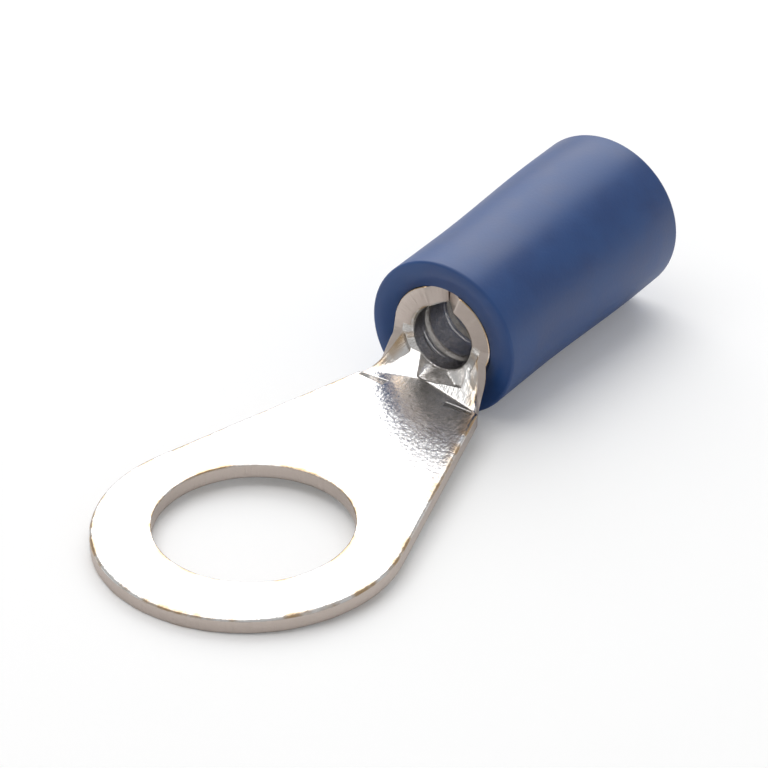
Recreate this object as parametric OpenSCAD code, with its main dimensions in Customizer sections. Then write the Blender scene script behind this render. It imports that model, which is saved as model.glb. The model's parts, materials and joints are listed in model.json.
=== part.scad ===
// Insulated ring terminal, M6 stud, for 1.5 to 2.5 mm2 wire.
//
// Two pieces: a stamped and rolled metal terminal (ring, tapered neck and wire barrel in one strip of
// metal) and the soft plastic sleeve that is pressed over its barrel.
//
// Frame: the origin is the centre of the stud hole at the tongue's underside. +X runs along the tongue
// to the end where the wire goes in, and +Z points up, out of the tongue's top face.

/* [Tongue] */
// Diameter of the stud hole
stud_hole_d = 6.4; // [4.2:0.1:6.8]
// Width across the ring
ring_w = 10; // [9:0.1:13]
// How far the ring's outer circle sits ahead of the hole's centre
ring_lead = 0.2; // [0:0.05:0.6]
// Thickness of the tongue, which is coined thinner than the strip
tongue_t = 0.53; // [0.4:0.01:0.7]
// Distance from the hole's centre to where the neck starts to curl up
neck_reach = 9.1; // [7.5:0.1:13]
// Width of the neck where it starts to curl up
neck_w = 4.75; // [4.2:0.05:5.4]

/* [Neck] */
// Length over which the neck curls up into the barrel
curl_len = 1.4; // [1.2:0.1:2.2]
// How far ahead of the barrel's mouth the middle of the coined crease lies
crease_setback = 0.75; // [0.5:0.05:1]
// Angle by which each half of the crease sweeps forward from its middle
crease_sweep = 13.5; // [5:0.5:20]
// Slope of the two facets that climb from the crease
facet_slope = 31.5; // [24:0.5:38]
// Radius of the hollow where the neck's edge turns up into the barrel's front cut
root_r = 1; // [0.7:0.05:1.2]
// How much wider than the bore the trough at the barrel's mouth is, all round
trough_margin = 0.04; // [0.03:0.01:0.08]

/* [Barrel] */
// Bore of the wire barrel
barrel_bore_d = 2.3; // [1.8:0.1:2.6]
// Wall of the wire barrel, which is the thickness of the strip
barrel_wall = 0.75; // [0.72:0.01:0.9]
// Length of the wire barrel
barrel_len = 6; // [5:0.1:7.5]
// How far the barrel's underside lies below the tongue's underside
barrel_drop = 0.04; // [0:0.01:0.1]
// Gap of the butt seam along the top of the barrel
seam_gap = 0.06; // [0.04:0.01:0.15]
// Width of the notch that the strip's cut corners leave where the seam meets the mouth
seam_notch_w = 1.1; // [0.4:0.05:1.4]
// Depth of that notch along the seam
seam_notch_depth = 0.45; // [0.2:0.05:0.6]
// Size of the chamfer around the mouth that the wire enters
wire_chamfer = 0.2; // [0.1:0.05:0.3]
// Number of grip grooves rolled into the bore
groove_count = 3; // [1:1:3]
// Distance between the middles of the grip grooves
groove_pitch = 1.3; // [0.8:0.1:1.5]
// Width of each grip groove at the bore
groove_w = 0.4; // [0.2:0.05:0.5]
// Depth of each grip groove
groove_depth = 0.1; // [0.05:0.01:0.15]

/* [Sleeve] */
// Length of the sleeve
sleeve_len = 10.3; // [9:0.1:13]
// Outer diameter of the sleeve over the barrel
sleeve_front_d = 5.6; // [5:0.1:6.2]
// Outer diameter of the sleeve where the wire goes in
sleeve_rear_d = 5.92; // [5.5:0.02:6.6]
// Bore of the sleeve where the wire goes in
sleeve_rear_bore_d = 4.4; // [4:0.1:4.9]
// Distance from the sleeve's front face to the start of its flare
flare_start = 2.6; // [1:0.1:4]
// Length of the flare along the outside
flare_len = 6.3; // [3:0.1:6.4]
// Length of the step in the bore behind the barrel's end
step_len = 1.2; // [0.6:0.1:1.4]
// Radius on the rim of the front face
front_round = 0.1; // [0.05:0.01:0.2]
// Radius on both rims of the rear face
rear_round = 0.16; // [0.05:0.01:0.25]
// Gap between the barrel and the sleeve's bore
sleeve_gap = 0.02; // [0.01:0.01:0.05]
// How far the barrel's mouth stands proud of the sleeve's front face
mouth_proud = 0.04; // [0:0.01:0.2]

/* [Hidden] */

$fn = 96;
// Far enough for a cutter to pass right through the part
reach = 40;
// Thickness of the slices that a hull spans
slice = 0.01;

barrel_r = barrel_bore_d / 2 + barrel_wall;
bore_r = barrel_bore_d / 2;
axis_z = barrel_r - barrel_drop;
floor_z = axis_z - bore_r;
mouth_x = neck_reach + curl_len;
crease_x = mouth_x - crease_setback;
barrel_end_x = mouth_x + barrel_len;
sleeve_x = mouth_x + mouth_proud;
sleeve_bore_r = barrel_r + sleeve_gap;

// The straight tapers start a hair inside the ring's edge, so that they cross it and don't graze it
ring_r = ring_w / 2;
taper_r = ring_r - 0.01;
neck_span = norm([neck_reach + ring_lead, neck_w / 2]);
tangent_angle = atan2(neck_w / 2, neck_reach + ring_lead) + acos(taper_r / neck_span);
taper_x = taper_r * cos(tangent_angle) - ring_lead;
taper_y = taper_r * sin(tangent_angle);

// An eased step from 0 to 1
function ease(t) = t * t * (3 - 2 * t);

// Points of a quarter circle about centre c, from angle a to a + turn
function quarter(c, r, a, turn, steps = 6) =
    [for (i = [0:steps]) c + r * [cos(a + turn * i / steps), sin(a + turn * i / steps)]];

// Points of an S-shaped curve from p to q
function s_curve(p, q, steps) =
    [for (i = [1:steps - 1]) [p.x + (q.x - p.x) * i / steps, p.y + (q.y - p.y) * ease(i / steps)]];

// Flat tongue: a ring with a straight taper on each side
module tongue() {
    linear_extrude(tongue_t) {
        translate([-ring_lead, 0]) circle(r = ring_r);
        polygon([
            [taper_x, taper_y],
            [taper_x, -taper_y],
            [neck_reach, -neck_w / 2],
            [neck_reach, neck_w / 2]
        ]);
    }
}

// Outside of the neck, from the flat section of the tongue to the round section of the barrel
module neck() {
    hull() {
        translate([neck_reach, -neck_w / 2, 0]) cube([slice, neck_w, tongue_t]);
        translate([mouth_x - slice, 0, axis_z]) rotate([0, 90, 0])
            cylinder(r = barrel_r - slice / 2, h = slice, $fn = 64);
    }
}

// Half space above one facet, on the side of +Y for side = 1 and of -Y for side = -1
module above_facet(side) {
    translate([crease_x, 0, tongue_t]) rotate([0, 0, side * crease_sweep]) rotate([0, -facet_slope, 0])
        translate([-reach / 2, -reach / 2, 0]) cube(reach);
}

// Open space ahead of the barrel: above the tongue and the facets, with a hollow root up to the front cut
module mouth_space() {
    foot_x = mouth_x - 0.04;
    wing_x = mouth_x - root_r;
    intersection() {
        union() {
            translate([mouth_x - reach, -reach / 2, axis_z]) cube(reach);
            translate([wing_x, 0, axis_z]) rotate([90, 0, 0]) cylinder(r = root_r, h = reach, center = true);
            linear_extrude(reach) polygon([
                [foot_x, 0],
                [foot_x - reach * tan(crease_sweep), reach],
                [-reach, reach],
                [-reach, -reach],
                [foot_x - reach * tan(crease_sweep), -reach]
            ]);
        }
        above_facet(1);
        above_facet(-1);
        translate([-reach / 2, -reach / 2, tongue_t]) cube(reach);
    }
}

// Trough that runs from the middle of the crease up to the floor of the bore
module trough() {
    trough_r = bore_r + trough_margin;
    trough_z = floor_z - trough_margin;
    fall = atan2(trough_z - tongue_t, crease_setback);
    intersection() {
        translate([mouth_x, 0, trough_z]) rotate([0, 180 - fall, 0]) translate([0, 0, -trough_r])
            rotate([0, 90, 0]) cylinder(r = trough_r, h = reach, center = true);
        translate([mouth_x - reach, -reach / 2, tongue_t]) cube(reach);
    }
}

// Bore of the barrel with its grip grooves and the chamfer at the wire's end
module bore() {
    first_groove_x = mouth_x + barrel_len / 2 - groove_pitch * (groove_count - 1) / 2;
    translate([mouth_x, 0, axis_z]) rotate([0, 90, 0]) cylinder(r = bore_r, h = barrel_len);
    for (i = [0:groove_count - 1])
        translate([first_groove_x + i * groove_pitch, 0, axis_z]) rotate([0, 90, 0]) rotate_extrude()
            polygon([
                [0, -groove_w / 2],
                [bore_r, -groove_w / 2],
                [bore_r + groove_depth, 0],
                [bore_r, groove_w / 2],
                [0, groove_w / 2]
            ]);
    translate([barrel_end_x - wire_chamfer, 0, axis_z]) rotate([0, 90, 0])
        cylinder(r1 = bore_r, r2 = bore_r + 2 * wire_chamfer, h = 2 * wire_chamfer);
}

// Butt seam along the top of the barrel, with the notch at its front end
module seam() {
    translate([mouth_x, -seam_gap / 2, axis_z]) cube([reach, seam_gap, reach]);
    translate([mouth_x, 0, axis_z]) linear_extrude(reach)
        polygon([
            [0, -seam_notch_w / 2],
            [seam_notch_depth, 0],
            [0, seam_notch_w / 2]
        ]);
}

// The metal terminal: one strip, stamped, coined and rolled
module ring_tongue() {
    color("gainsboro") difference() {
        union() {
            tongue();
            neck();
            translate([mouth_x, 0, axis_z]) rotate([0, 90, 0]) cylinder(r = barrel_r, h = barrel_len);
        }
        translate([0, 0, -reach / 2]) cylinder(d = stud_hole_d, h = reach);
        mouth_space();
        trough();
        bore();
        seam();
    }
}

// Section of the sleeve, as distance from its axis against distance from its front face
module sleeve_section() {
    front_r = sleeve_front_d / 2;
    rear_r = sleeve_rear_d / 2;
    rear_bore_r = sleeve_rear_bore_d / 2;
    step_x = barrel_end_x - sleeve_x;
    flare_end = flare_start + flare_len;
    polygon([
        for (p = concat(
            [[0, sleeve_bore_r]],
            quarter([front_round, front_r - front_round], front_round, 180, -90),
            [[flare_start, front_r]],
            s_curve([flare_start, front_r], [flare_end, rear_r], 18),
            [[flare_end, rear_r]],
            quarter([sleeve_len - rear_round, rear_r - rear_round], rear_round, 90, -90),
            quarter([sleeve_len - rear_round, rear_bore_r + rear_round], rear_round, 0, -90),
            [[step_x + step_len, rear_bore_r]],
            s_curve([step_x + step_len, rear_bore_r], [step_x, sleeve_bore_r], 8),
            [[step_x, sleeve_bore_r]]
        )) [p.y, p.x]
    ]);
}

// The soft sleeve, a push fit on the barrel and belled out behind it for the wire's own insulation
module insulating_sleeve() {
    color("royalblue") translate([sleeve_x, 0, axis_z]) rotate([0, 90, 0]) rotate_extrude() sleeve_section();
}

ring_tongue();
insulating_sleeve();
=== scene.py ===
"""Insulated ring terminal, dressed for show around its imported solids.

The metal terminal is made the way it is stamped: a flat blank is laid out as a grid, its neck is coined and
its wings are rolled into the wire barrel. The plastic sleeve is one section, turned about the barrel's axis
by Geometry Nodes. Lengths are in millimetres until a mesh is made, and Blender's metres after that.
"""

import json
import logging
import math
from dataclasses import dataclass
from enum import Enum

import bmesh
import bpy
import numpy as np
from mathutils import Matrix, Vector


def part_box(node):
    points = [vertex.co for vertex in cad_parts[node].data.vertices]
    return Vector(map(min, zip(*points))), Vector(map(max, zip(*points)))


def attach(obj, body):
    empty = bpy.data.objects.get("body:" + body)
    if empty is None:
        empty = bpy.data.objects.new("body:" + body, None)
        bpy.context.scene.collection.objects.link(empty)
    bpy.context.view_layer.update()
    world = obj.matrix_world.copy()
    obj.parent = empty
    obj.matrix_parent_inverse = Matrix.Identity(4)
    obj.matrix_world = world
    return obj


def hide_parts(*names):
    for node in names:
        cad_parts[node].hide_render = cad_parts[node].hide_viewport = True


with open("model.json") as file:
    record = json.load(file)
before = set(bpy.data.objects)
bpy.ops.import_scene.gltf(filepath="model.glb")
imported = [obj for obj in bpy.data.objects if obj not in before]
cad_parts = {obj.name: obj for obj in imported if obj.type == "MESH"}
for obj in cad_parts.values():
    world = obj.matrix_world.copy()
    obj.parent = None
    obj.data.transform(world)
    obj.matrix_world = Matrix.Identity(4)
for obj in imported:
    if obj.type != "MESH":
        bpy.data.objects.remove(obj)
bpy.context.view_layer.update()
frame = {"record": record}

MM = 0.001
BODY = "root"
LOG = logging.getLogger("ring_terminal")

# Thickness of the strip, and chamfer round the barrel's wire end, in millimetres
STRIP_T = 0.75
WIRE_CHAMFER = 0.2
# Points nearer than this, in millimetres, are one point
WELD = 0.0005
# Lengths under this, in millimetres, count as nothing
TOUCH = 1e-6

Colour = tuple[float, float, float]
# A point of a section: its place along the axis and its distance from it
Spot = tuple[float, float]
Array = np.ndarray


# ---------------------------------------------------------------- sizes taken from the frame


def mount(name: str) -> dict:
    """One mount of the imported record.

    Args:
        name: The mount's name.

    Returns:
        The mount as the record gives it.
    """
    return next(m for m in frame["record"]["mounts"] if m["name"] == name)


def node_box(name: str) -> tuple[Vector, Vector]:
    """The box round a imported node.

    Args:
        name: The node's name.

    Returns:
        Its lowest and highest corner, in millimetres.
    """
    low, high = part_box(name)
    return low / MM, high / MM


@dataclass(frozen=True)
class TerminalFrame:
    """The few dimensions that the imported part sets, in millimetres."""

    hole_r: float
    ring_r: float
    tip_x: float
    tongue_t: float
    bore_r: float
    axis_z: float
    underside_z: float
    mouth_x: float
    barrel_end_x: float
    sleeve_front_x: float
    sleeve_rear_x: float
    sleeve_rear_r: float
    sleeve_rear_bore_r: float

    @classmethod
    def from_record(cls) -> "TerminalFrame":
        """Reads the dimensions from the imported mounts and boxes.

        Returns:
            The dimensions.
        """
        metal_low, metal_high = node_box("ring_tongue")
        sleeve_low, sleeve_high = node_box("insulating_sleeve")
        barrel = mount("wire_barrel")
        return cls(
            hole_r=mount("stud_hole")["dims"]["r_mm"],
            ring_r=(metal_high.y - metal_low.y) / 2,
            tip_x=metal_low.x,
            tongue_t=mount("tongue_top")["pos_m"][2] / MM,
            bore_r=barrel["dims"]["r_mm"],
            axis_z=barrel["pos_m"][2] / MM,
            underside_z=metal_low.z,
            mouth_x=metal_high.x - barrel["dims"]["length_mm"] - WIRE_CHAMFER,
            barrel_end_x=metal_high.x,
            sleeve_front_x=sleeve_low.x,
            sleeve_rear_x=sleeve_high.x,
            sleeve_rear_r=(sleeve_high.y - sleeve_low.y) / 2,
            sleeve_rear_bore_r=mount("wire_entry")["dims"]["r_mm"],
        )


# ---------------------------------------------------------------- shader building


class Shade:
    """A short hand for building one node tree, whether a material or a group."""

    def __init__(self, tree: bpy.types.NodeTree) -> None:
        """Keeps the tree that nodes are added to.

        Args:
            tree: The tree.
        """
        self.tree = tree

    def add(self, kind: str, **settings: object) -> bpy.types.Node:
        """Adds a node.

        Args:
            kind: The node's type, such as ShaderNodeMath.
            settings: Properties of the node to set.

        Returns:
            The new node.
        """
        node = self.tree.nodes.new(kind)
        for name, value in settings.items():
            setattr(node, name, value)
        return node

    def plug(self, source: object, socket: bpy.types.NodeSocket) -> None:
        """Links a socket, or writes a plain value, to an input.

        Args:
            source: An output socket, a number or a tuple.
            socket: The input that takes it.
        """
        if isinstance(source, bpy.types.NodeSocket):
            self.tree.links.new(source, socket)
        elif source is not None:
            socket.default_value = source

    def math(self, operation: str, a: object, b: object = None, c: object = None, clamp: bool = False) -> object:
        """A Math node's result.

        Args:
            operation: The operation's name.
            a: First input.
            b: Second input.
            c: Third input.
            clamp: Whether to clamp the result to 0 to 1.

        Returns:
            The output socket.
        """
        node = self.add("ShaderNodeMath", operation=operation, use_clamp=clamp)
        for value, socket in zip((a, b, c), node.inputs):
            self.plug(value, socket)
        return node.outputs[0]

    def mix(self, factor: object, a: object, b: object, blend: str = "MIX") -> object:
        """A colour mix.

        Args:
            factor: Share of b.
            a: First colour.
            b: Second colour.
            blend: The blend type.

        Returns:
            The output socket.
        """
        node = self.add("ShaderNodeMix", data_type="RGBA", blend_type=blend)
        self.plug(factor, node.inputs[0])
        self.plug(a, node.inputs[6])
        self.plug(b, node.inputs[7])
        return node.outputs[2]

    def noise(self, place: object, scale: float, detail: float = 3.0, roughness: float = 0.55) -> object:
        """A noise texture's value.

        Args:
            place: The coordinates.
            scale: Waves per unit of the coordinates.
            detail: Octaves.
            roughness: Weight of the finer octaves.

        Returns:
            The output socket.
        """
        node = self.add("ShaderNodeTexNoise")
        self.plug(place, node.inputs["Vector"])
        node.inputs["Scale"].default_value = scale
        node.inputs["Detail"].default_value = detail
        node.inputs["Roughness"].default_value = roughness
        return node.outputs[0]

    def stretch(self, place: object, factors: tuple[float, float, float], turn: float = 0.0) -> object:
        """Coordinates turned about Z and then scaled along each axis.

        Args:
            place: The coordinates.
            factors: Scale along X, Y and Z.
            turn: Angle about Z, in degrees.

        Returns:
            The output socket.
        """
        node = self.add("ShaderNodeMapping")
        self.plug(place, node.inputs["Vector"])
        node.inputs["Rotation"].default_value = (0.0, 0.0, math.radians(turn))
        node.inputs["Scale"].default_value = factors
        return node.outputs[0]

    def ramp(self, value: object, low: float, high: float, out_low: float = 0.0, out_high: float = 1.0) -> object:
        """A value mapped smoothly from one range to another, and clamped.

        Args:
            value: The value.
            low: Where the result starts to leave out_low.
            high: Where the result reaches out_high.
            out_low: Result at low.
            out_high: Result at high.

        Returns:
            The output socket.
        """
        node = self.add("ShaderNodeMapRange", interpolation_type="SMOOTHSTEP")
        for name, number in (("From Min", low), ("From Max", high), ("To Min", out_low), ("To Max", out_high)):
            node.inputs[name].default_value = number
        self.plug(value, node.inputs["Value"])
        return node.outputs["Result"]

    def attribute(self, name: str, output: str = "Fac") -> object:
        """An attribute of the mesh.

        Args:
            name: The attribute's name.
            output: Fac for a number, Vector for a place.

        Returns:
            The output socket.
        """
        return self.add("ShaderNodeAttribute", attribute_name=name).outputs[output]

    def bump(self, height: object, strength: float, distance: float, normal: object = None) -> object:
        """A Bump node's normal.

        Args:
            height: The height field.
            strength: The node's strength.
            distance: The node's distance, in metres.
            normal: A normal from another bump, or None.

        Returns:
            The output socket.
        """
        node = self.add("ShaderNodeBump")
        node.inputs["Strength"].default_value = strength
        node.inputs["Distance"].default_value = distance
        self.plug(height, node.inputs["Height"])
        self.plug(normal, node.inputs["Normal"])
        return node.outputs[0]

    def group(self, tree: bpy.types.NodeTree, **values: object) -> bpy.types.Node:
        """Places a node group.

        Args:
            tree: The group's tree.
            values: Its inputs by name, with spaces written as underscores.

        Returns:
            The group node.
        """
        node = self.add("ShaderNodeGroup")
        node.node_tree = tree
        for name, value in values.items():
            self.plug(value, node.inputs[name.replace("_", " ")])
        return node


@dataclass(frozen=True)
class GroupSocket:
    """One named socket of a node group."""

    name: str
    kind: str
    value: object = None
    is_output: bool = False


def new_group(name: str, kind: str, sockets: list[GroupSocket]) -> tuple[bpy.types.NodeTree, Shade, object, object]:
    """Makes an empty node group with named sockets.

    Args:
        name: The group's name.
        kind: The tree's type, such as ShaderNodeTree.
        sockets: Its inputs and outputs, in order.

    Returns:
        The tree, a Shade for it, its input node and its output node.
    """
    tree = bpy.data.node_groups.new(name, kind)
    for socket in sockets:
        made = tree.interface.new_socket(
            name=socket.name, in_out="OUTPUT" if socket.is_output else "INPUT", socket_type=socket.kind
        )
        if socket.value is not None:
            made.default_value = socket.value
    shade = Shade(tree)
    return tree, shade, shade.add("NodeGroupInput"), shade.add("NodeGroupOutput")


def grain_group() -> bpy.types.NodeTree:
    """Fine grain with slow cloudiness on top, as on any worked or moulded surface.

    Returns:
        A group with inputs Place, Grain Scale, Cloud Scale and Share, and outputs Height and Cloud.
    """
    tree, shade, given, result = new_group(
        "surface_grain",
        "ShaderNodeTree",
        [
            GroupSocket("Place", "NodeSocketVector"),
            GroupSocket("Grain Scale", "NodeSocketFloat", 10.0),
            GroupSocket("Cloud Scale", "NodeSocketFloat", 1.0),
            GroupSocket("Share", "NodeSocketFloat", 0.5),
            GroupSocket("Height", "NodeSocketFloat", is_output=True),
            GroupSocket("Cloud", "NodeSocketFloat", is_output=True),
        ],
    )
    fine = shade.noise(given.outputs["Place"], 1.0, 2.0)
    shade.plug(given.outputs["Grain Scale"], fine.node.inputs["Scale"])
    cloud = shade.noise(given.outputs["Place"], 1.0, 3.0, 0.5)
    shade.plug(given.outputs["Cloud Scale"], cloud.node.inputs["Scale"])
    mixed = shade.add("ShaderNodeMix", data_type="FLOAT")
    shade.plug(given.outputs["Share"], mixed.inputs[0])
    shade.plug(fine, mixed.inputs[2])
    shade.plug(cloud, mixed.inputs[3])
    shade.plug(mixed.outputs[0], result.inputs["Height"])
    shade.plug(cloud, result.inputs["Cloud"])
    return tree


def new_material(name: str) -> tuple[bpy.types.Material, Shade, bpy.types.Node]:
    """Makes a material with a bare Principled shader.

    Args:
        name: The material's name.

    Returns:
        The material, a Shade for its tree and its Principled node.
    """
    material = bpy.data.materials.new(name)
    material.use_nodes = True
    return material, Shade(material.node_tree), material.node_tree.nodes["Principled BSDF"]


# ---------------------------------------------------------------- finishes


@dataclass(frozen=True)
class TinnedCopper:
    """Satin tin over copper: bright on its faces, copper where rubbed at the rims, and a painted brown reflection
    on its cut faces.
    """

    name: str = "tinned_copper"
    tin: Colour = (0.93, 0.915, 0.90)
    cloudy_tin: Colour = (0.86, 0.84, 0.82)
    # painted reflection: this beige-brown on the cut faces stands in for the brown they reflect
    cut_face_painted_reflection: Colour = (0.62, 0.54, 0.49)
    copper: Colour = (0.58, 0.40, 0.22)
    face_roughness: float = 0.20
    sheared_roughness: float = 0.38
    grain_per_mm: float = 7.0
    clouds_per_mm: float = 1.1
    cloud_share: float = 0.35
    streak_stretch: tuple[float, float, float] = (3.0, 14.0, 1.0)
    streak_turn: float = 14.0
    streak_share: float = 0.6
    shear_stretch: tuple[float, float, float] = (9.0, 9.0, 0.7)
    face_bump: float = 0.35
    shear_bump: float = 0.5
    bump_depth: float = 0.05

    def build(self, grain: bpy.types.NodeTree) -> bpy.types.Material:
        """Makes the material.

        Args:
            grain: The shared grain group.

        Returns:
            The material.
        """
        material, shade, shader = new_material(self.name)
        place = shade.attribute("strip_place", "Vector")
        cut = shade.attribute("cut")
        rim = shade.attribute("rim")
        scales = {"Grain_Scale": self.grain_per_mm, "Cloud_Scale": self.clouds_per_mm}
        face = shade.group(grain, Place=place, Share=self.cloud_share, **scales)
        cloud = face.outputs["Cloud"]
        streaks = shade.noise(shade.stretch(place, self.streak_stretch, self.streak_turn), 1.0, 3.0, 0.6)
        shear = shade.noise(shade.stretch(place, self.shear_stretch), 1.0, 3.0, 0.6)

        rubbed = shade.math("MULTIPLY", rim, shade.ramp(cloud, 0.38, 0.62), clamp=True)
        colour = shade.mix(shade.ramp(cloud, 0.35, 0.7), self.tin + (1,), self.cloudy_tin + (1,))
        colour = shade.mix(rubbed, colour, self.copper + (1,))
        # cut faces take the painted reflection colour; their extra roughness and striae below are the real shear
        colour = shade.mix(cut, colour, self.cut_face_painted_reflection + (1,))
        shade.plug(colour, shader.inputs["Base Color"])
        shader.inputs["Metallic"].default_value = 1.0

        rough = shade.ramp(streaks, 0.3, 0.7, self.face_roughness - 0.04, self.face_roughness + 0.06)
        rougher = shade.add("ShaderNodeMix", data_type="FLOAT")
        shade.plug(cut, rougher.inputs[0])
        shade.plug(rough, rougher.inputs[2])
        rougher.inputs[3].default_value = self.sheared_roughness
        shade.plug(rougher.outputs[0], shader.inputs["Roughness"])

        depth = self.bump_depth * MM
        relief = shade.math("ADD", face.outputs["Height"], shade.math("MULTIPLY", streaks, self.streak_share))
        normal = shade.bump(relief, self.face_bump, depth)
        striae = shade.math("MULTIPLY", shear, cut)
        shade.plug(shade.bump(striae, self.shear_bump, depth, normal), shader.inputs["Normal"])
        return material


@dataclass(frozen=True)
class BlueVinyl:
    """Soft satin vinyl, saturated blue under a pale haze."""

    name: str = "blue_sleeve"
    deep: Colour = (0.004, 0.045, 0.185)
    pale: Colour = (0.007, 0.060, 0.225)
    roughness: float = 0.42
    specular: float = 0.7
    sheen: float = 0.06
    sheen_roughness: float = 0.4
    grain_per_m: float = 9000.0
    clouds_per_m: float = 600.0
    cloud_share: float = 0.3
    bump: float = 0.25
    bump_depth: float = 0.02

    def build(self, grain: bpy.types.NodeTree) -> bpy.types.Material:
        """Makes the material.

        Args:
            grain: The shared grain group.

        Returns:
            The material.
        """
        material, shade, shader = new_material(self.name)
        place = shade.add("ShaderNodeTexCoord").outputs["Object"]
        scales = {"Grain_Scale": self.grain_per_m, "Cloud_Scale": self.clouds_per_m}
        skin = shade.group(grain, Place=place, Share=self.cloud_share, **scales)
        cloudy = shade.ramp(skin.outputs["Cloud"], 0.3, 0.7)
        shade.plug(shade.mix(cloudy, self.deep + (1,), self.pale + (1,)), shader.inputs["Base Color"])
        rough = shade.ramp(skin.outputs["Cloud"], 0.3, 0.7, self.roughness - 0.03, self.roughness + 0.05)
        shade.plug(rough, shader.inputs["Roughness"])
        shader.inputs["Specular IOR Level"].default_value = self.specular
        shader.inputs["Sheen Weight"].default_value = self.sheen
        shader.inputs["Sheen Roughness"].default_value = self.sheen_roughness
        shade.plug(shade.bump(skin.outputs["Height"], self.bump, self.bump_depth * MM), shader.inputs["Normal"])
        return material


# ---------------------------------------------------------------- the metal terminal


class Face(Enum):
    """The two broad faces of the strip."""

    UNDER = 0
    TOP = 1


def smooth_min(a: Array, b: Array, blend: float) -> Array:
    """The lower of two fields, rounded over where they cross.

    Args:
        a: First field.
        b: Second field.
        blend: Height over which the crossing is rounded.

    Returns:
        The blended field.
    """
    share = np.clip(0.5 + 0.5 * (b - a) / blend, 0.0, 1.0)
    return b + (a - b) * share - blend * share * (1.0 - share)


def smooth_step(value: Array, low: float, high: float) -> Array:
    """An eased step.

    Args:
        value: The value.
        low: Where the step starts, at 0.
        high: Where it ends, at 1.

    Returns:
        The step's height at each value.
    """
    t = np.clip((value - low) / (high - low), 0.0, 1.0)
    return t * t * (3.0 - 2.0 * t)


def spread(start: float, end: float, count: int, ease: float = 0.0) -> Array:
    """Numbers from start to end, even or drawn towards both ends.

    Args:
        start: First number.
        end: Last number.
        count: How many steps.
        ease: 0 for even steps, 1 for steps that bunch at both ends.

    Returns:
        count + 1 numbers.
    """
    t = np.linspace(0.0, 1.0, count + 1)
    bunched = 0.5 - 0.5 * np.cos(math.pi * t)
    return start + (end - start) * ((1.0 - ease) * t + ease * bunched)


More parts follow.
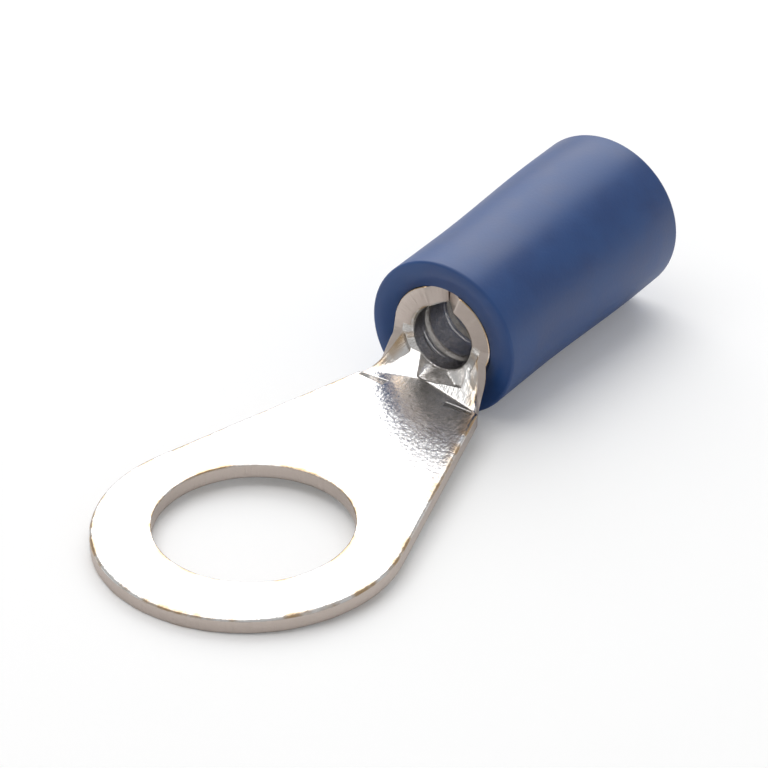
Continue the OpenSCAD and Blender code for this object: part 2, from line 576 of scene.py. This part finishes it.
@dataclass
class RingTongue:
    """The stamped, coined and rolled strip of metal. Lengths are in millimetres."""

    sizes: TerminalFrame
    strip_t: float = STRIP_T
    ring_lead: float = 0.2
    neck_reach: float = 9.1
    neck_w: float = 4.75
    waist_w: float = 3.9
    waist_lead: float = 0.3
    crease_setback: float = 0.70
    crease_shift: float = 0.25
    crease_sweep: float = 15.6
    facet_slope: float = 31.5
    trough_w: float = 1.7
    trough_shift: float = -0.38
    roll_start: float = 1.4
    roll_end: float = -0.15
    roll_power: float = 1.6
    seam_gap: float = 0.06
    notch_w: float = 1.1
    notch_depth: float = 0.45
    fillet_x: float = 0.55
    fillet_w: float = 0.6
    top_roll_w: float = 0.16
    top_roll_h: float = 0.10
    hole_roll_w: float = 0.09
    hole_roll_h: float = 0.05
    under_round: float = 0.04
    wire_chamfer: float = WIRE_CHAMFER
    groove_start: float = 0.8
    groove_pitch: float = 1.3
    groove_count: int = 3
    groove_w: float = 0.4
    groove_depth: float = 0.1
    coin_blend: float = 0.05
    thinnest: float = 0.45
    steepest: float = 0.25
    open_height: float = 9.0
    rim_w: float = 0.45
    hole_near: tuple[float, ...] = (0.02, 0.05, 0.09, 0.14, 0.22, 0.34)
    hole_clear: float = 0.5
    outer_lead: float = 2.0
    inner_shares: tuple[float, ...] = (0.0, 0.008, 0.02, 0.035)
    inner_end: float = 0.05
    levels: tuple[float, ...] = (0.0, 0.25, 0.5, 0.75, 1.0)
    hole_steps: int = 56
    taper_steps: int = 12
    neck_steps: int = 30
    fillet_steps: int = 20
    cut_steps: int = 22
    corner_steps: int = 10
    seam_steps: int = 110
    line_steps: int = 56
    edge_steps: int = 6
    coin_passes: int = 8

    # ---- outline of half of the blank, with the centre line that faces it

    def taper_half(self, x: Array) -> Array:
        """The straight taper's outline.

        Args:
            x: Place along the strip.

        Returns:
            Half the width there.
        """
        return self.neck_w / 2 + (self.neck_reach - x) * math.tan(self.taper_turn())

    def taper_turn(self) -> float:
        """The taper's lean.

        Returns:
            Angle between the taper and the tongue's axis, in radians.
        """
        reach = math.hypot(self.neck_reach + self.ring_lead, self.neck_w / 2)
        lean = math.atan2(self.neck_w / 2, self.neck_reach + self.ring_lead)
        return math.asin(self.sizes.ring_r / reach) - lean

    def middle_r(self) -> float:
        """The barrel's middle surface.

        Returns:
            Radius of the middle of the strip's thickness.
        """
        return self.sizes.bore_r + self.strip_t / 2

    def seam_edge(self) -> float:
        """The seam's place on the flat blank.

        Returns:
            Distance from the centre line to the seam's edge.
        """
        return math.pi * self.middle_r() - self.seam_gap / 2

    def crease_x(self) -> float:
        """The crease's place.

        Returns:
            Place of its point along the strip.
        """
        return self.sizes.mouth_x - self.crease_setback

    def ring_rows(self) -> tuple[Array, Array]:
        """Rows round the hole, from the tip to the back of the hole.

        Returns:
            The inner and outer ends of the rows.
        """
        angle = np.linspace(math.pi, 0.0, self.hole_steps + 1)
        inner = self.sizes.hole_r * np.stack([np.cos(angle), np.sin(angle)], 1)
        turn = self.taper_turn()
        arc_angle = math.pi / 2 + turn
        arc_length = self.sizes.ring_r * arc_angle
        tangent_x = self.sizes.ring_r * math.sin(turn) - self.ring_lead
        straight = (self.sizes.hole_r + self.outer_lead - tangent_x) / math.cos(turn)
        along = np.linspace(0.0, arc_length + straight, self.hole_steps + 1)
        on_arc = math.pi - np.minimum(along, arc_length) / self.sizes.ring_r
        arc = self.sizes.ring_r * np.stack([np.cos(on_arc), np.sin(on_arc)], 1) - [self.ring_lead, 0.0]
        past = np.maximum(along - arc_length, 0.0)[:, None]
        return inner, arc + past * np.array([math.cos(turn), -math.sin(turn)])

    def taper_rows(self) -> tuple[Array, Array]:
        """Rows across the taper, from the back of the hole to the start of the neck.

        Returns:
            The inner and outer ends of the rows.
        """
        start = self.sizes.hole_r
        near = start + np.array(self.hole_near)
        inner_x = np.concatenate([near, spread(start + self.hole_clear, self.neck_reach, self.taper_steps)])
        outer_x = spread(start + self.outer_lead, self.neck_reach, len(inner_x))[1:]
        inner = np.stack([inner_x, np.zeros_like(inner_x)], 1)
        return inner, np.stack([outer_x, self.taper_half(outer_x)], 1)

    def neck_rows(self) -> tuple[Array, Array]:
        """Rows across the neck, from the end of the taper to its waist.

        Returns:
            The inner and outer ends of the rows.
        """
        start, end = self.neck_reach, self.sizes.mouth_x - self.fillet_x
        x = spread(start, end, self.neck_steps)[1:]
        narrowed = (self.neck_w - self.waist_w) / 2 * smooth_step(x, start - self.waist_lead, end)
        return np.stack([x, np.zeros_like(x)], 1), np.stack([x, self.neck_w / 2 - narrowed], 1)

    def wing_rows(self) -> tuple[Array, Array]:
        """Rows to the front edge of the wing: up the fillet, along the cut and round the cut-off corner.

        Returns:
            The inner and outer ends of the rows.
        """
        mouth = self.sizes.mouth_x
        turn = spread(0.0, math.pi / 2, self.fillet_steps)[1:]
        fillet_x = mouth - self.fillet_x + self.fillet_x * np.sin(turn)
        fillet_w = self.waist_w / 2 + self.fillet_w * (1.0 - np.cos(turn))
        fillet = np.stack([fillet_x, fillet_w], 1)
        cut_w = spread(fillet_w[-1], self.seam_edge() - self.notch_w / 2, self.cut_steps)[1:]
        cut = np.stack([np.full_like(cut_w, mouth), cut_w], 1)
        shares = spread(0.0, 1.0, self.corner_steps, 1.0)[1:, None]
        corner = cut[-1] + shares * np.array([self.notch_depth, self.notch_w / 2])
        outer = np.concatenate([fillet, cut, corner])
        inner_x = spread(mouth - self.fillet_x, mouth + self.notch_depth, len(outer))[1:]
        return np.stack([inner_x, np.zeros_like(inner_x)], 1), outer

    def seam_rows(self) -> tuple[Array, Array]:
        """Rows along the seam to the end of the barrel.

        Returns:
            The inner and outer ends of the rows.
        """
        x = spread(self.sizes.mouth_x + self.notch_depth, self.sizes.barrel_end_x, self.seam_steps)[1:]
        return np.stack([x, np.zeros_like(x)], 1), np.stack([x, np.full_like(x, self.seam_edge())], 1)

    # ---- the grid of the half blank

    def flat_grid(self) -> tuple[Array, Array]:
        """The grid of the half blank.

        Returns:
            Places of the grid's points, rows by lines by 2, and each point's distance to the outline.
        """
        parts = [self.ring_rows(), self.taper_rows(), self.neck_rows(), self.wing_rows(), self.seam_rows()]
        inner = np.concatenate([p[0] for p in parts])
        outer = np.concatenate([p[1] for p in parts])
        along = np.gradient(outer, axis=0)
        along /= np.linalg.norm(along, axis=1)[:, None]
        inward = np.stack([along[:, 1], -along[:, 0]], 1)
        inward[0] = (1.0, 0.0)
        steps = self.top_roll_w * (1.0 - np.sin(np.linspace(0.0, math.pi / 2, self.edge_steps + 1)))
        edge = outer[:, None, :] + inward[:, None, :] * steps[None, :, None]
        shares = np.concatenate([self.inner_shares, spread(self.inner_end, 1.0, self.line_steps)])[:-1]
        middle = inner[:, None, :] + (edge[:, :1, :] - inner[:, None, :]) * shares[None, :, None]
        spans = np.linalg.norm(edge[:, :1, :] - inner[:, None, :], axis=2) * (1.0 - shares)[None, :]
        away = np.concatenate([spans + steps[0], np.repeat(steps[None, :], len(outer), 0)], 1)
        return np.concatenate([middle, edge], 1), away

    # ---- height through the strip, and the bend

    def bend(self, along: Array) -> Array:
        """How far the strip is rolled up.

        Args:
            along: Place along the strip.

        Returns:
            Curvature of its section there, per millimetre.
        """
        mouth = self.sizes.mouth_x
        start, end = mouth - self.roll_start, mouth + self.roll_end
        rolled = np.clip((along - start) / (end - start), 0.0, 1.0) ** self.roll_power
        return np.maximum(rolled, 1e-4) / self.middle_r()

    def folded(self, along: Array, across: Array, height: Array) -> Array:
        """Bends points of the strip into place.

        Args:
            along: Place along the strip.
            across: Place across the strip, along its middle surface.
            height: Height above the strip's underside.

        Returns:
            Points in space, with X, Y and Z last.
        """
        curve = self.bend(along)
        turn = curve * across
        sunk = self.sizes.underside_z * curve * self.middle_r()
        middle_z = sunk + self.strip_t / 2 + (1.0 - np.cos(turn)) / curve
        out = height - self.strip_t / 2
        return np.stack([along, np.sin(turn) * (1.0 / curve - out), middle_z + np.cos(turn) * out], -1)

    def coin_height(self, x: Array, y: Array) -> Array:
        """Height of the coined surface ahead of the mouth.

        Two facets climb from the crease, and a trough between them runs from a flat floor at the crease to the
        round floor of the bore.

        Args:
            x: Place along the part.
            y: Place across it.

        Returns:
            The height in space.
        """
        sweep, slope = math.radians(self.crease_sweep), math.tan(math.radians(self.facet_slope))
        off = y - self.crease_shift
        behind = (x - self.crease_x()) * math.cos(sweep) + np.abs(off) * math.sin(sweep)
        risen = 0.5 * (behind + np.sqrt(behind**2 + self.coin_blend**2))
        facets = self.sizes.tongue_t + risen * slope
        done = np.clip((x - self.crease_x()) / self.crease_setback, 0.001, 1.0)
        floor = self.sizes.tongue_t + done * (self.sizes.axis_z - self.sizes.bore_r - self.sizes.tongue_t)
        middle = (1.0 - done) * self.trough_shift
        past_flat = np.maximum(np.abs(y - middle) - (1.0 - done) * self.trough_w / 2, 0.0)
        round_r = done * self.sizes.bore_r
        rise = round_r - np.sqrt(np.maximum(round_r**2 - np.minimum(past_flat, round_r) ** 2, 0.0))
        trough = np.where(past_flat < round_r, floor + rise, self.open_height)
        trough = np.where(x > self.crease_x(), trough, self.open_height)
        return smooth_min(facets, trough, self.coin_blend)

    def coined(self, along: Array, across: Array) -> Array:
        """Thickness of the strip where the coining presses it.

        Args:
            along: Place along the strip.
            across: Place across it.

        Returns:
            The thickness.
        """
        low = self.folded(along, across, np.zeros_like(along))
        top = self.folded(along, across, np.full_like(along, self.strip_t))
        thickness = np.full_like(along, self.strip_t)
        step = (top - low) / self.strip_t
        for _ in range(self.coin_passes):
            y = low[..., 1] + step[..., 1] * thickness
            wanted = (self.coin_height(along, y) - low[..., 2]) / np.maximum(step[..., 2], self.steepest)
            thickness = 0.4 * thickness + 0.6 * np.clip(wanted, self.thinnest, self.strip_t)
        pressed = smooth_min(thickness, np.full_like(along, self.strip_t), self.coin_blend)
        ahead = along < self.sizes.mouth_x - TOUCH
        return np.where(ahead, np.maximum(pressed, self.thinnest), self.strip_t)

    def grooved(self, along: Array) -> Array:
        """The grip grooves in the bore.

        Args:
            along: Place along the strip.

        Returns:
            Depth of the grooves there.
        """
        middles = self.sizes.mouth_x + self.groove_start + self.groove_pitch * np.arange(self.groove_count)
        nearest = np.min(np.abs(along[..., None] - middles), axis=-1)
        return np.clip(1.0 - nearest / (self.groove_w / 2), 0.0, 1.0) * self.groove_depth

    def rolled_edge(self, away: Array, width: float, drop: float) -> Array:
        """Drop of a face where the press rolled its edge over.

        Args:
            away: Distance from the edge.
            width: How far in the rolled edge reaches.
            drop: How deep it is at the edge.

        Returns:
            The drop.
        """
        t = np.clip(1.0 - away / width, 0.0, 1.0)
        return drop * (1.0 - np.sqrt(np.maximum(1.0 - t * t, 0.0)))

    def heights(self, grid: Array, away: Array) -> dict[Face, Array]:
        """Heights of the strip's two faces above its underside.

        Args:
            grid: Places of the points on the blank.
            away: Their distance to the outline.

        Returns:
            The height of each face.
        """
        along, across = grid[..., 0], grid[..., 1]
        from_hole = np.hypot(along, across) - self.sizes.hole_r
        drop = self.rolled_edge(away, self.top_roll_w, self.top_roll_h)
        drop = np.maximum(drop, self.rolled_edge(from_hole, self.hole_roll_w, self.hole_roll_h))
        drop = np.maximum(drop, np.clip(self.wire_chamfer - self.sizes.barrel_end_x + along, 0.0, 1.0))
        under = self.rolled_edge(np.minimum(away, from_hole), self.under_round, self.under_round)
        return {Face.TOP: self.coined(along, across) - self.grooved(along) - drop, Face.UNDER: under}

    # ---- the mesh

    def half_faces(self, index: Array) -> Array:
        """Quads of the half blank: both faces and the walls along the outline, the hole and the barrel's end.

        Args:
            index: Vertex numbers by level, row and line.

        Returns:
            The quads, wound so that the half on the side of +Y faces outward.
        """

        def sheet(ids: Array, flip: bool) -> Array:
            """Quads of a grid.

            Args:
                ids: Vertex numbers by row and line.
                flip: Whether the quads wind the other way.

            Returns:
                The quads.
            """
            a, b, c, d = ids[:-1, :-1], ids[1:, :-1], ids[1:, 1:], ids[:-1, 1:]
            return np.stack([a, d, c, b] if flip else [a, b, c, d], -1).reshape(-1, 4)

        hole = slice(0, self.hole_steps + 1)
        quads = [sheet(index[-1], False), sheet(index[0], True)]
        for low, high in zip(index[:-1], index[1:]):
            quads.append(sheet(np.stack([low[:, -1], high[:, -1]]), False))
            quads.append(sheet(np.stack([low[hole, 0], high[hole, 0]]), True))
            quads.append(sheet(np.stack([low[-1, :], high[-1, :]]), True))
        return np.concatenate(quads)

    def build(self, finish: bpy.types.Material) -> bpy.types.Object:
        """Makes the terminal's mesh and dresses it.

        Args:
            finish: The metal.

        Returns:
            The finished object.
        """
        grid, away = self.flat_grid()
        along, across = grid[..., 0], grid[..., 1]
        index = np.arange(len(self.levels) * along.size).reshape(len(self.levels), *along.shape)
        faces = self.half_faces(index)
        from_hole = np.hypot(along, across) - self.sizes.hole_r
        border = np.minimum(away, np.maximum(from_hole, 0.0))
        cut = np.where(border < TOUCH, 1.0, 0.0).ravel()
        rim = np.clip(1.0 - border / self.rim_w, 0.0, 1.0).ravel()
        points, places, all_faces = [], [], []
        for side in (1.0, -1.0):
            for share in self.levels:
                height = self.side_height(side, grid, away, share)
                points.append(self.folded(along, side * across, height).reshape(-1, 3))
                even = self.side_height(1.0, grid, away, share)
                places.append(np.stack([along, side * across, even], -1).reshape(-1, 3))
            turned = faces if side > 0 else faces[:, ::-1]
            all_faces.append(turned + (0 if side > 0 else index.size))
        copies = 2 * len(self.levels)
        marks = {"strip_place": np.concatenate(places), "cut": np.tile(cut, copies), "rim": np.tile(rim, copies)}
        return self.weld(np.concatenate(points), marks, np.concatenate(all_faces), finish)

    def side_height(self, side: float, grid: Array, away: Array, share: float) -> Array:
        """Height at one level of the strip, on the side of +Y or -Y.

        Args:
            side: 1 for +Y, -1 for -Y.
            grid: Places of the points on the half blank.
            away: Their distance to the outline.
            share: 0 at the underside, 1 at the top.

        Returns:
            The heights.
        """
        heights = self.heights(grid * [1.0, side], away)
        return heights[Face.UNDER] + (heights[Face.TOP] - heights[Face.UNDER]) * share

    def weld(
        self, points: Array, marks: dict[str, Array], faces: Array, finish: bpy.types.Material
    ) -> bpy.types.Object:
        """Turns the arrays into one closed mesh.

        Args:
            points: Points in space, in millimetres.
            marks: Attributes of the points, by name.
            faces: Quads.
            finish: The metal.

        Returns:
            The object.
        """
        mesh = bpy.data.meshes.new("stamped_terminal")
        mesh.from_pydata((points * MM).tolist(), [], faces.tolist())
        for name, values in marks.items():
            kind, field_name = ("FLOAT_VECTOR", "vector") if values.ndim == 2 else ("FLOAT", "value")
            mesh.attributes.new(name, kind, "POINT").data.foreach_set(field_name, values.ravel())
        built = bmesh.new()
        built.from_mesh(mesh)
        bmesh.ops.remove_doubles(built, verts=built.verts, dist=WELD * MM)
        bmesh.ops.dissolve_degenerate(built, edges=built.edges, dist=WELD / 5 * MM)
        loose = [vertex for vertex in built.verts if not vertex.link_faces]
        bmesh.ops.delete(built, geom=loose, context="VERTS")
        open_edges = sum(not e.is_manifold for e in built.edges)
        LOG.info("stamped_terminal: %d faces, %d open edges", len(built.faces), open_edges)
        for face in built.faces:
            face.smooth = True
        built.to_mesh(mesh)
        built.free()
        mesh.materials.append(finish)
        made = bpy.data.objects.new("stamped_terminal", mesh)
        bpy.context.scene.collection.objects.link(made)
        return made


# ---------------------------------------------------------------- the plastic sleeve


def section_tree() -> bpy.types.NodeTree:
    """Geometry nodes that turn a closed section about the X axis.

    The section is the mesh that carries the modifier: its points are in order, with X along the axis and Z as the
    distance from it. A grid of one row per section point is set onto the turned section and its borders are welded.

    Returns:
        The tree, with inputs Section, Section Points, Segments, Axis Height and Finish.
    """
    tree, net, given, result = new_group(
        "turned_section",
        "GeometryNodeTree",
        [
            GroupSocket("Geometry", "NodeSocketGeometry", is_output=True),
            GroupSocket("Section", "NodeSocketGeometry"),
            GroupSocket("Section Points", "NodeSocketInt", 8),
            GroupSocket("Segments", "NodeSocketInt", 96),
            GroupSocket("Axis Height", "NodeSocketFloat", 0.0),
            GroupSocket("Finish", "NodeSocketMaterial"),
        ],
    )
    tree.is_modifier = True
    section, count, segments = (given.outputs[n] for n in ("Section", "Section Points", "Segments"))
    grid = net.add("GeometryNodeMeshGrid")
    net.plug(net.math("ADD", count, 1.0), grid.inputs["Vertices X"])
    net.plug(net.math("ADD", segments, 1.0), grid.inputs["Vertices Y"])
    index = net.add("GeometryNodeInputIndex").outputs[0]
    row_length = net.math("ADD", segments, 1.0)
    row = net.math("FLOOR", net.math("DIVIDE", net.math("ADD", index, 0.5), row_length))
    step = net.math("SUBTRACT", index, net.math("MULTIPLY", row, row_length))
    angle = net.math("MULTIPLY", net.math("DIVIDE", step, segments), 2.0 * math.pi)
    sample = net.add("GeometryNodeSampleIndex", data_type="FLOAT_VECTOR", domain="POINT")
    net.plug(section, sample.inputs["Geometry"])
    net.plug(net.add("GeometryNodeInputPosition").outputs[0], sample.inputs["Value"])
    net.plug(net.math("MODULO", row, count), sample.inputs["Index"])
    parts = net.add("ShaderNodeSeparateXYZ")
    net.plug(sample.outputs[0], parts.inputs[0])
    place = net.add("ShaderNodeCombineXYZ")
    net.plug(parts.outputs["X"], place.inputs["X"])
    net.plug(net.math("MULTIPLY", parts.outputs["Z"], net.math("SINE", angle)), place.inputs["Y"])
    across = net.math("MULTIPLY", parts.outputs["Z"], net.math("COSINE", angle))
    net.plug(net.math("ADD", across, given.outputs["Axis Height"]), place.inputs["Z"])
    moved = net.add("GeometryNodeSetPosition")
    net.plug(grid.outputs["Mesh"], moved.inputs["Geometry"])
    net.plug(place.outputs[0], moved.inputs["Position"])
    welded = net.add("GeometryNodeMergeByDistance")
    welded.inputs["Distance"].default_value = WELD * MM
    net.plug(moved.outputs[0], welded.inputs["Geometry"])
    real = net.add("GeometryNodeRealizeInstances")
    net.plug(welded.outputs[0], real.inputs[0])
    smooth = net.add("GeometryNodeSetShadeSmooth")
    net.plug(real.outputs[0], smooth.inputs["Geometry"])
    dressed = net.add("GeometryNodeSetMaterial")
    net.plug(smooth.outputs[0], dressed.inputs["Geometry"])
    net.plug(given.outputs["Finish"], dressed.inputs["Material"])
    net.plug(dressed.outputs[0], result.inputs["Geometry"])
    return tree


@dataclass
class InsulatingSleeve:
    """The soft sleeve over the barrel, belled out behind it. Lengths are in millimetres."""

    sizes: TerminalFrame
    front_d: float = 5.6
    flare_start: float = 2.6
    flare_len: float = 6.3
    step_len: float = 1.2
    front_round: float = 0.1
    rear_round: float = 0.16
    sleeve_gap: float = 0.02
    segments: int = 160
    round_steps: int = 8
    straight_steps: int = 8
    flare_steps: int = 30
    step_steps: int = 14

    def rounded(self, x: float, r: float, radius: float, start: float, turn: float) -> list[Spot]:
        """Points of a rounded corner.

        Args:
            x: Place of the corner's centre along the axis.
            r: Its distance from the axis.
            radius: Radius of the corner.
            start: Angle of the first point, in degrees.
            turn: Angle to the last point, in degrees.

        Returns:
            Places along the axis with distances from it.
        """
        angles = [math.radians(start + turn * step / self.round_steps) for step in range(self.round_steps + 1)]
        return [(x + radius * math.cos(a), r + radius * math.sin(a)) for a in angles]

    def eased(self, first: Spot, last: Spot, steps: int) -> list[Spot]:
        """Points of an S curve between two points.

        Args:
            first: The point that it leaves.
            last: The point that it reaches.
            steps: How many steps it takes.

        Returns:
            Its points, without first and last.
        """
        shares = [step / steps for step in range(1, steps)]
        return [
            (first[0] + (last[0] - first[0]) * t, first[1] + (last[1] - first[1]) * t * t * (3 - 2 * t))
            for t in shares
        ]

    def section(self) -> list[Spot]:
        """The closed section, from the bore's front edge round the outside and back along the bore.

        Returns:
            Its points in order.
        """
        s = self.sizes
        front_x, rear_x = s.sleeve_front_x, s.sleeve_rear_x
        front_r, rear_r = self.front_d / 2, s.sleeve_rear_r
        bore_r = s.bore_r + STRIP_T + self.sleeve_gap
        flare_x, flare_end = front_x + self.flare_start, front_x + self.flare_start + self.flare_len
        step_x, step_end = s.barrel_end_x, s.barrel_end_x + self.step_len
        rim, edge = self.front_round, self.rear_round
        points = [(front_x, bore_r)]
        points += self.rounded(front_x + rim, front_r - rim, rim, 180, -90)
        points += self.eased((front_x + rim, front_r), (flare_x, front_r), self.straight_steps)
        points += [(flare_x, front_r)]
        points += self.eased((flare_x, front_r), (flare_end, rear_r), self.flare_steps)
        points += [(flare_end, rear_r)]
        points += self.rounded(rear_x - edge, rear_r - edge, edge, 90, -90)
        points += self.rounded(rear_x - edge, s.sleeve_rear_bore_r + edge, edge, 0, -90)
        points += [(step_end, s.sleeve_rear_bore_r)]
        points += self.eased((step_end, s.sleeve_rear_bore_r), (step_x, bore_r), self.step_steps)
        points += [(step_x, bore_r)]
        return points + self.eased((step_x, bore_r), (front_x, bore_r), self.straight_steps)

    def build(self, finish: bpy.types.Material) -> bpy.types.Object:
        """Turns the section and dresses it.

        Args:
            finish: The vinyl.

        Returns:
            The finished object.
        """
        points = self.section()
        mesh = bpy.data.meshes.new("vinyl_sleeve")
        mesh.from_pydata([(x * MM, 0.0, r * MM) for x, r in points], [], [])
        made = bpy.data.objects.new("vinyl_sleeve", mesh)
        bpy.context.scene.collection.objects.link(made)
        tree = section_tree()
        sockets = {item.name: item.identifier for item in tree.interface.items_tree if item.in_out == "INPUT"}
        turned = made.modifiers.new("turned_section", "NODES")
        turned.node_group = tree
        turned[sockets["Section Points"]] = len(points)
        turned[sockets["Segments"]] = self.segments
        turned[sockets["Axis Height"]] = self.sizes.axis_z * MM
        turned[sockets["Finish"]] = finish
        evaluated = made.evaluated_get(bpy.context.evaluated_depsgraph_get())
        solid = bpy.data.meshes.new_from_object(evaluated)
        made.modifiers.remove(turned)
        made.data = solid
        open_edges = turned_outward(solid)
        LOG.info("vinyl_sleeve: %d faces, %d open edges", len(solid.polygons), open_edges)
        return made


def turned_outward(mesh: bpy.types.Mesh) -> int:
    """Turns a mesh's faces outward.

    Args:
        mesh: The mesh.

    Returns:
        How many of its edges are open.
    """
    built = bmesh.new()
    built.from_mesh(mesh)
    open_edges = sum(not edge.is_manifold for edge in built.edges)
    if built.calc_volume(signed=True) < 0:
        bmesh.ops.reverse_faces(built, faces=built.faces)
    built.to_mesh(mesh)
    built.free()
    return open_edges


# ---------------------------------------------------------------- the studio


@dataclass(frozen=True)
class SoftLight:
    """One rectangular lamp, aimed at the part. Places are in millimetres."""

    name: str
    azimuth: float
    elevation: float
    distance: float
    width: float
    height: float
    power: float


@dataclass(frozen=True)
class Studio:
    """Pale floor, soft light and the camera. Angles are in degrees and lengths in millimetres."""

    azimuth: float = 34.904
    elevation: float = 32.537
    roll: float = -0.304
    distance: float = 114.06
    target: tuple[float, float, float] = (9.524, 1.649, 0.0)
    lens: float = 159.78
    nearest: float = 1.0
    farthest: float = 10000.0
    floor_size: float = 4000.0
    floor_drop: float = 0.01
    rear_inset: float = 0.2
    floor_albedo: float = 0.86
    floor_glow: float = 0.16
    floor_clouds_per_m: float = 40.0
    room: float = 0.45
    aim: tuple[float, float, float] = (8.0, 0.0, 1.0)
    lamps: tuple[SoftLight, ...] = (
        SoftLight("lamp_ahead", 34.0, 38.0, 300.0, 330.0, 260.0, 0.55),
        SoftLight("lamp_above", 110.0, 74.0, 300.0, 240.0, 240.0, 0.30),
    )

    def camera(self) -> bpy.types.Object:
        """Places the camera.

        Returns:
            The camera object.
        """
        azimuth, elevation = math.radians(self.azimuth), math.radians(self.elevation)
        ahead = Vector(
            (
                math.cos(elevation) * math.cos(azimuth),
                math.cos(elevation) * math.sin(azimuth),
                -math.sin(elevation),
            )
        )
        side = Vector((math.sin(azimuth), -math.cos(azimuth), 0.0))
        turned = Matrix((side, side.cross(ahead), -ahead)).transposed()
        turned = turned @ Matrix.Rotation(math.radians(self.roll), 3, "Z")
        data = bpy.data.cameras.new("camera")
        data.lens, data.sensor_width = self.lens, 36.0
        data.clip_start, data.clip_end = self.nearest * MM, self.farthest * MM
        made = bpy.data.objects.new("camera", data)
        place = (Vector(self.target) - ahead * self.distance) * MM
        made.matrix_world = Matrix.Translation(place) @ turned.to_4x4()
        bpy.context.scene.collection.objects.link(made)
        bpy.context.scene.camera = made
        return made

    def light(self, lamp: SoftLight) -> bpy.types.Object:
        """Hangs one lamp.

        Args:
            lamp: Where it hangs, its size and its power in watts.

        Returns:
            The lamp's object.
        """
        turn, tilt = math.radians(lamp.azimuth), math.radians(lamp.elevation)
        away = Vector((math.cos(tilt) * math.cos(turn), math.cos(tilt) * math.sin(turn), math.sin(tilt)))
        data = bpy.data.lights.new(lamp.name, "AREA")
        data.shape, data.size, data.size_y = "RECTANGLE", lamp.width * MM, lamp.height * MM
        data.energy = lamp.power
        made = bpy.data.objects.new(lamp.name, data)
        made.location = (Vector(self.aim) + away * lamp.distance) * MM
        made.rotation_euler = away.to_track_quat("Z", "Y").to_euler()
        bpy.context.scene.collection.objects.link(made)
        return made

    def world(self) -> None:
        """Lights the room evenly, and shows it white to the camera."""
        world = bpy.data.worlds.new("room")
        world.use_nodes = True
        shade = Shade(world.node_tree)
        background = world.node_tree.nodes["Background"]
        paths = shade.add("ShaderNodeLightPath")
        background.inputs["Color"].default_value = (1.0, 1.0, 1.0, 1.0)
        shown = shade.math("MULTIPLY", paths.outputs["Is Camera Ray"], 1.0 - self.room)
        shade.plug(shade.math("ADD", shown, self.room), background.inputs["Strength"])
        bpy.context.scene.world = world

    def floor(self, sizes: TerminalFrame) -> bpy.types.Object:
        """Lays the floor under the tip of the ring and the rear of the sleeve.

        Args:
            sizes: The part's sizes.

        Returns:
            The floor's object.
        """
        rear_x, rear_z = sizes.sleeve_rear_x - self.rear_inset, sizes.axis_z - sizes.sleeve_rear_r
        slope = rear_z / (rear_x - sizes.tip_x)
        half = self.floor_size / 2
        square = ((-half, -half), (half, -half), (half, half), (-half, half))
        corners = [(x, y, (x - sizes.tip_x) * slope - self.floor_drop) for x, y in square]
        mesh = bpy.data.meshes.new("floor")
        mesh.from_pydata([tuple(v * MM for v in corner) for corner in corners], [], [(0, 1, 2, 3)])
        material, shade, shader = new_material("pale_floor")
        place = shade.add("ShaderNodeTexCoord").outputs["Object"]
        clouds = shade.noise(place, self.floor_clouds_per_m)
        tone = shade.ramp(clouds, 0.2, 0.8, self.floor_albedo - 0.005, self.floor_albedo + 0.005)
        colour = shade.add("ShaderNodeCombineColor")
        for channel in colour.inputs[:3]:
            shade.plug(tone, channel)
        shade.plug(colour.outputs[0], shader.inputs["Base Color"])
        shader.inputs["Roughness"].default_value = 0.9
        shader.inputs["Specular IOR Level"].default_value = 0.0
        shade.plug(colour.outputs[0], shader.inputs["Emission Color"])
        glow = shade.math("MULTIPLY", shade.add("ShaderNodeLightPath").outputs["Is Camera Ray"], self.floor_glow)
        shade.plug(glow, shader.inputs["Emission Strength"])
        mesh.materials.append(material)
        made = bpy.data.objects.new("floor", mesh)
        bpy.context.scene.collection.objects.link(made)
        return made

    def build(self, sizes: TerminalFrame) -> None:
        """Sets up the floor, the light and the camera.

        Args:
            sizes: The part's sizes.
        """
        self.floor(sizes)
        self.world()
        for lamp in self.lamps:
            self.light(lamp)
        self.camera()


def main() -> None:
    """Builds the scene."""
    logging.basicConfig(level=logging.INFO, format="%(message)s")
    bpy.context.scene.view_settings.view_transform = "Standard"
    sizes = TerminalFrame.from_record()
    grain = grain_group()
    terminal = RingTongue(sizes).build(TinnedCopper().build(grain))
    sleeve = InsulatingSleeve(sizes).build(BlueVinyl().build(grain))
    for piece, node, slot in (
        (terminal, "ring_tongue", "tinned_copper"),
        (sleeve, "insulating_sleeve", "blue_sleeve"),
    ):
        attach(piece, BODY)
        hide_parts(node)
    Studio().build(sizes)


if __name__ == "__main__":
    main()
